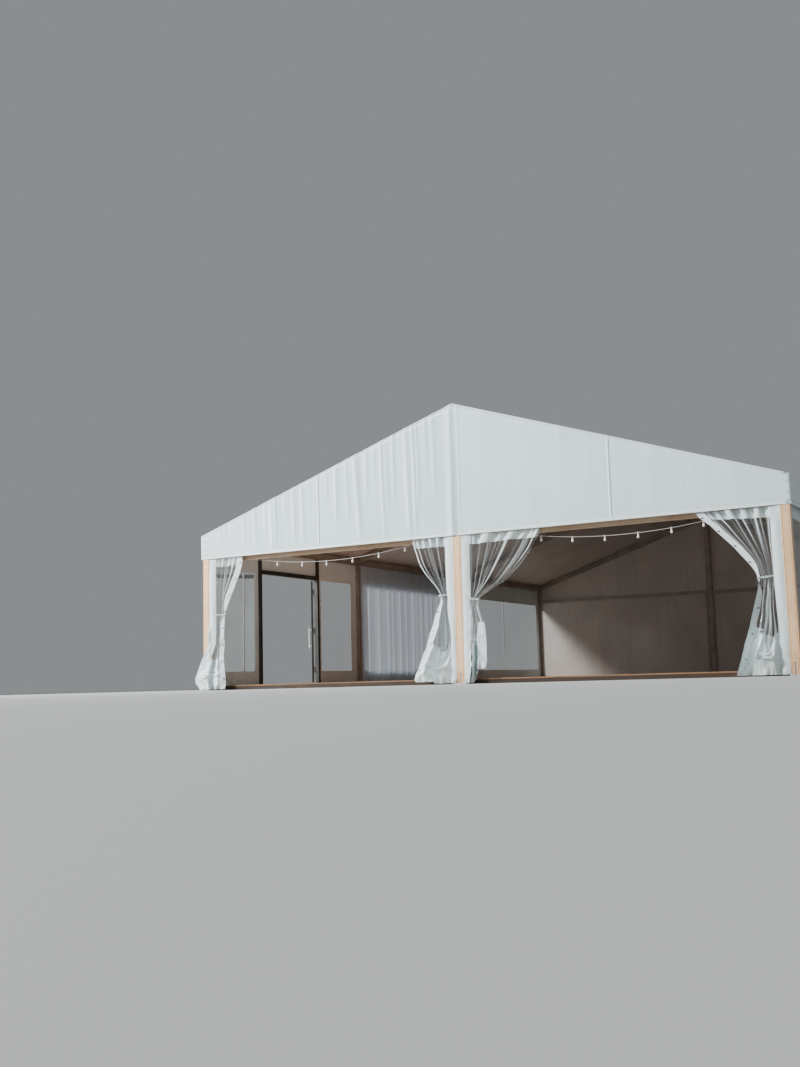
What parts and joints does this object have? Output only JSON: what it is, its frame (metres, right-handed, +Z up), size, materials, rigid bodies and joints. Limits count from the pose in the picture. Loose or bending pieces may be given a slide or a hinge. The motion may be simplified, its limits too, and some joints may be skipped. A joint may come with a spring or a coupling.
{
  "type": "marquee tent",
  "caption": "Frame marquee with a pitched white roof, open front gable with tied-back clear curtains, timber floor and a glazed double side door.",
  "frame": {"origin": "middle of the timber floor's underside, on the ground, below the ridge", "axes": "+X across the tent to the right as seen from outside the open front gable, +Y from the open front gable to the closed rear gable, +Z up"},
  "size_m": [10.625, 15.29, 4.383],
  "materials": {
    "aluminium": "satin mill finish",
    "white_sheet": "white coated polyester sheet with welded seams",
    "curtain_sheet": "clear window sheet with white borders, gathered",
    "door_metal": "dark satin",
    "door_glass": "clear",
    "timber": "stained boards",
    "drape_cloth": "soft pleated voile",
    "white_cord": "matte"
  },
  "bodies": {
    "tent": {"frame_1_left_leg": "aluminium", "frame_1_left_rafter": "aluminium", "frame_1_right_leg": "aluminium", "frame_1_right_rafter": "aluminium", "frame_2_left_leg": "aluminium", "frame_2_left_rafter": "aluminium", "frame_2_right_leg": "aluminium", "frame_2_right_rafter": "aluminium", "frame_3_left_leg": "aluminium", "frame_3_left_rafter": "aluminium", "frame_3_right_leg": "aluminium", "frame_3_right_rafter": "aluminium", "frame_4_left_leg": "aluminium", "frame_4_left_rafter": "aluminium", "frame_4_right_leg": "aluminium", "frame_4_right_rafter": "aluminium", "ridge_purlin_bay_1": "aluminium", "ridge_purlin_bay_2": "aluminium", "ridge_purlin_bay_3": "aluminium", "left_eave_purlin_bay_1": "aluminium", "left_eave_purlin_bay_2": "aluminium", "left_eave_purlin_bay_3": "aluminium", "right_eave_purlin_bay_1": "aluminium", "right_eave_purlin_bay_2": "aluminium", "right_eave_purlin_bay_3": "aluminium", "front_gable_beam": "aluminium", "front_centre_upright": "aluminium", "rear_gable_beam": "aluminium", "rear_centre_upright": "aluminium", "roof_cover_bay_1": "white_sheet", "roof_cover_bay_2": "white_sheet", "roof_cover_bay_3": "white_sheet", "front_gable_cover": "white_sheet", "rear_gable_cover": "white_sheet", "left_wall_bay_1_front": "white_sheet", "left_wall_bay_1_back": "white_sheet", "left_wall_over_door": "white_sheet", "left_wall_bay_2": "white_sheet", "left_wall_bay_3": "white_sheet", "right_wall_bay_1": "white_sheet", "right_wall_bay_2": "white_sheet", "right_wall_bay_3": "white_sheet", "rear_wall_left": "white_sheet", "rear_wall_right": "white_sheet", "curtain_far_left": "curtain_sheet", "curtain_centre_left": "curtain_sheet", "curtain_centre_right": "curtain_sheet", "curtain_far_right": "curtain_sheet", "inner_drape": "drape_cloth", "door_frame": "door_metal", "timber_floor": "timber", "floor_edge_board": "timber", "festoon_cord_left": "white_cord", "festoon_cord_right": "white_cord"},
    "front_leaf": {"door_leaf_front": "door_metal", "door_glass_front": "door_glass"},
    "back_leaf": {"door_leaf_back": "door_metal", "door_glass_back": "door_glass"}
  },
  "joints": [
    {"name": "front_leaf_hinge", "type": "hinge", "parent": "tent", "child": "front_leaf", "pos_m": [-5.002, -5.927, 1.1], "axis": [0, 0, 1], "range_deg": [-146, 19]},
    {"name": "back_leaf_hinge", "type": "hinge", "parent": "tent", "child": "back_leaf", "pos_m": [-5.002, -4.073, 1.1], "axis": [0, 0, 1], "range_deg": [-19, 146]}
  ]
}
